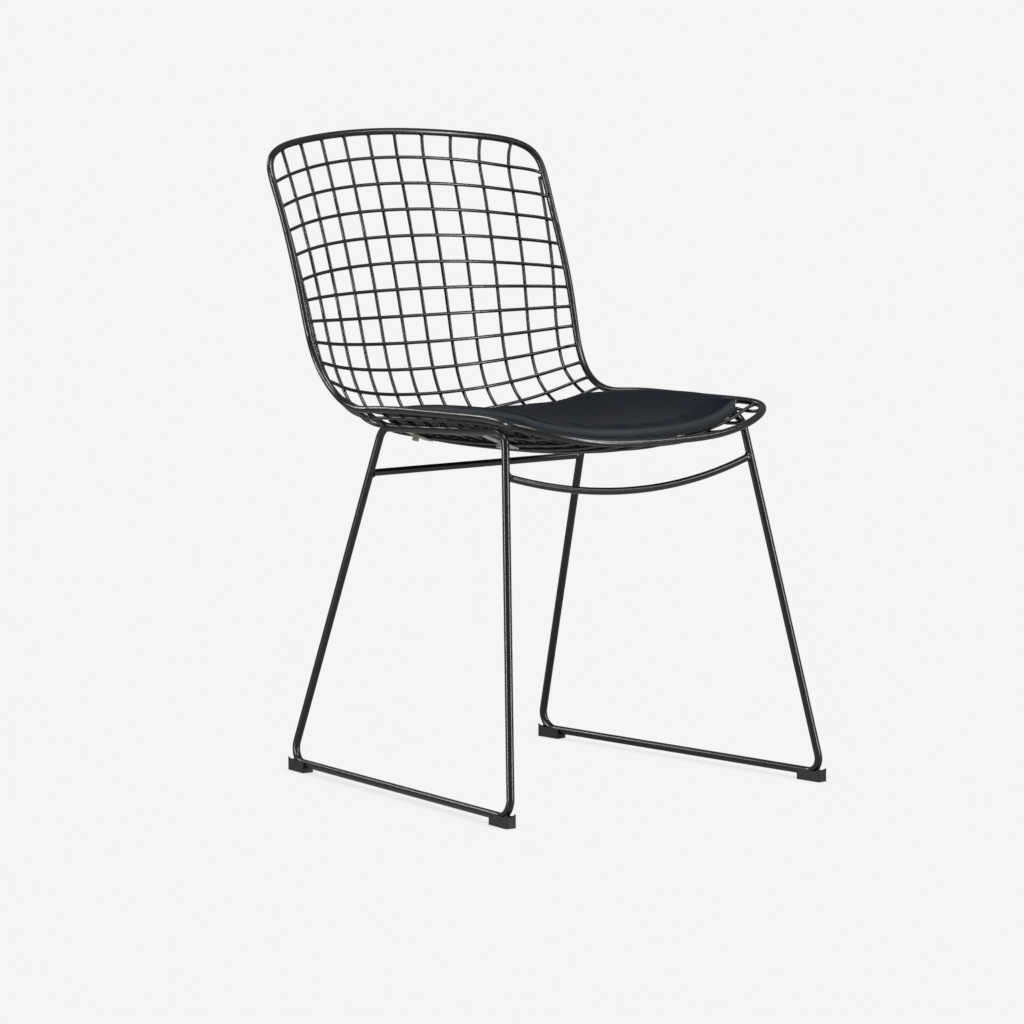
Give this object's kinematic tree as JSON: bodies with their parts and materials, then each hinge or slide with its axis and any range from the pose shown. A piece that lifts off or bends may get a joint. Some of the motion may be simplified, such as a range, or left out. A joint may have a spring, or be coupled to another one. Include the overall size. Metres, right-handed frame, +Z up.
{
  "type": "wire mesh chair",
  "caption": "Armless side chair with a welded wire mesh shell in a rod rim, a sled base of two closed rod frames, plastic floor glides and a thin leather seat pad.",
  "frame": {"origin": "on the floor, in the middle of the chair's overall outline seen from above", "axes": "+Z up, the sitter faces -Y, +X is the right side when the chair is seen from the front with the viewer looking along +Y"},
  "size_m": [0.5226, 0.5872, 0.8147],
  "materials": {
    "frame_rod": "gloss powder coat",
    "mesh_wire": "gloss powder coat",
    "glide": "matte",
    "pad_leather": "satin",
    "fixing_steel": "zinc plated"
  },
  "bodies": {
    "chair": {"rim_rod": "frame_rod", "side_frame_right": "frame_rod", "side_frame_left": "frame_rod", "rear_bar": "frame_rod", "front_bar": "frame_rod", "long_wire_01": "mesh_wire", "long_wire_02": "mesh_wire", "long_wire_03": "mesh_wire", "long_wire_04": "mesh_wire", "long_wire_05": "mesh_wire", "long_wire_06": "mesh_wire", "long_wire_07": "mesh_wire", "long_wire_08": "mesh_wire", "long_wire_09": "mesh_wire", "long_wire_10": "mesh_wire", "long_wire_11": "mesh_wire", "long_wire_12": "mesh_wire", "cross_wire_01": "mesh_wire", "cross_wire_02": "mesh_wire", "cross_wire_03": "mesh_wire", "cross_wire_04": "mesh_wire", "cross_wire_05": "mesh_wire", "cross_wire_06": "mesh_wire", "cross_wire_07": "mesh_wire", "cross_wire_08": "mesh_wire", "cross_wire_09": "mesh_wire", "cross_wire_10": "mesh_wire", "cross_wire_11": "mesh_wire", "cross_wire_12": "mesh_wire", "cross_wire_13": "mesh_wire", "cross_wire_14": "mesh_wire", "cross_wire_15": "mesh_wire", "cross_wire_16": "mesh_wire", "cross_wire_17": "mesh_wire", "cross_wire_18": "mesh_wire", "cross_wire_19": "mesh_wire", "cross_wire_20": "mesh_wire", "cross_wire_21": "mesh_wire", "cross_wire_22": "mesh_wire", "glide_front_right": "glide", "glide_rear_right": "glide", "glide_front_left": "glide", "glide_rear_left": "glide", "seat_pad": "pad_leather", "pad_fixing_rear_right_plate": "fixing_steel", "pad_fixing_rear_right_bolt": "fixing_steel", "pad_fixing_rear_left_plate": "fixing_steel", "pad_fixing_rear_left_bolt": "fixing_steel", "pad_fixing_front_right_plate": "fixing_steel", "pad_fixing_front_right_bolt": "fixing_steel", "pad_fixing_front_left_plate": "fixing_steel", "pad_fixing_front_left_bolt": "fixing_steel"}
  },
  "joints": []
}
